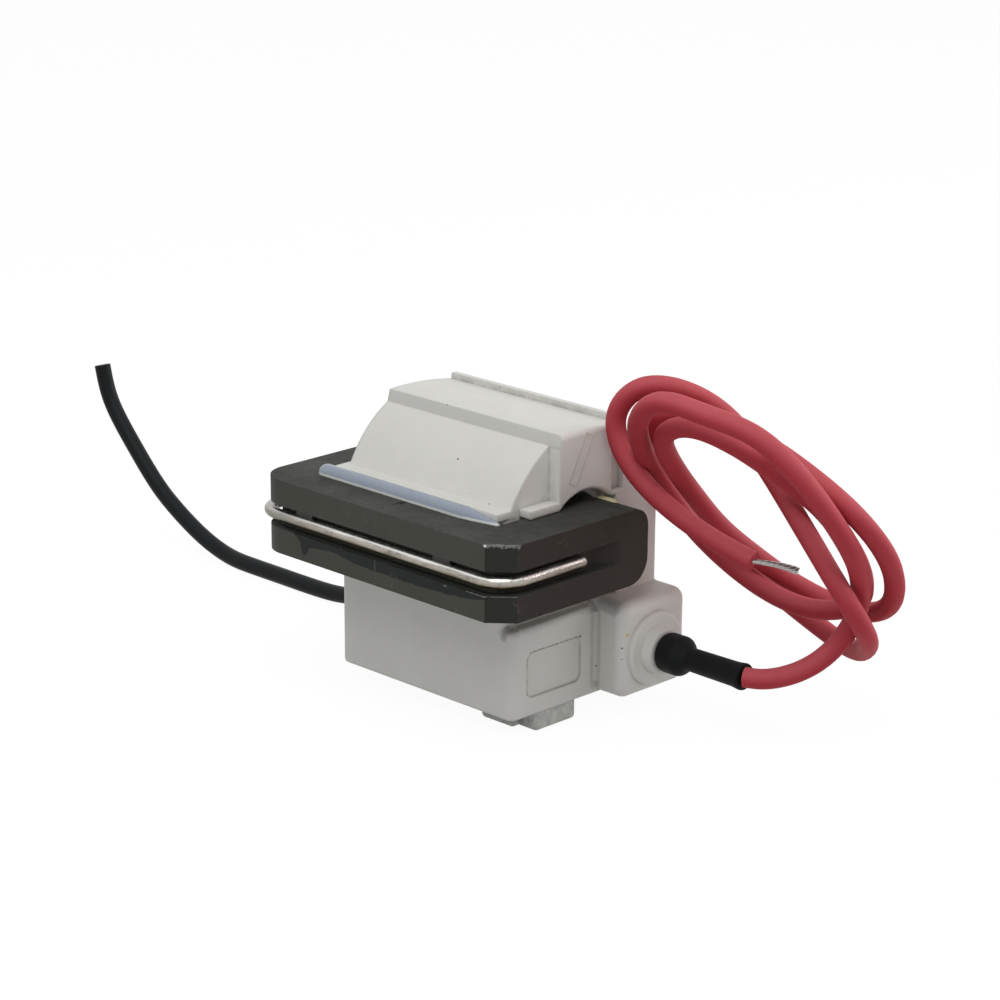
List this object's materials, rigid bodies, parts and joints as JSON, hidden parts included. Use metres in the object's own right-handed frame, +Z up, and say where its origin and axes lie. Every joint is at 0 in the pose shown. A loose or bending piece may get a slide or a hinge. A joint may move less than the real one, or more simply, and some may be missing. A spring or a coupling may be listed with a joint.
{
  "type": "flyback transformer",
  "caption": "Potted flyback transformer: ferrite U-core with a wire clip around a white moulded case, red high-voltage lead in a loose bundle, black return lead.",
  "frame": {"origin": "middle of the box around the part without its leads, at the level of the feet", "axes": "+X along the core towards the high-voltage outlet, +Y from the square core leg to the back of the case, +Z up"},
  "size_m": [0.1944, 0.0685, 0.063],
  "materials": {
    "ferrite": "matte grey-black ceramic, slightly granular",
    "film": "thin insulating film",
    "clip_steel": "bright spring wire",
    "shim": "grey wedge",
    "case": "satin off-white moulding",
    "bobbin": "plain moulding",
    "copper": "enamelled copper wire, filled with resin",
    "diode": "moulded diode body",
    "contact": "plain",
    "tin": "tinned copper",
    "resin": "rough cast resin",
    "silicone": "bluish clear silicone",
    "adhesive": "yellowish clear adhesive",
    "shrink": "black shrink tube",
    "red_lead": "satin silicone sheath",
    "black_lead": "satin sheath"
  },
  "bodies": {
    "root": {"core_right": "ferrite", "core_left": "ferrite", "gap_film_front": "film", "gap_film_round": "film", "clip": "clip_steel", "shim_left": "shim", "shim_right": "shim", "case_shell": "case", "primary_bobbin": "bobbin", "primary_winding": "copper", "secondary_bobbin": "bobbin", "secondary_winding": "copper", "diode_a": "diode", "diode_b": "diode", "hv_contact": "contact", "pin_1": "tin", "pin_2": "tin", "pin_3": "tin", "pin_4": "tin", "potting": "resin", "glue_bead": "silicone", "adhesive": "adhesive", "sleeve": "shrink", "hv_lead": "red_lead", "hv_strand": "tin", "return_lead": "black_lead"}
  },
  "joints": []
}
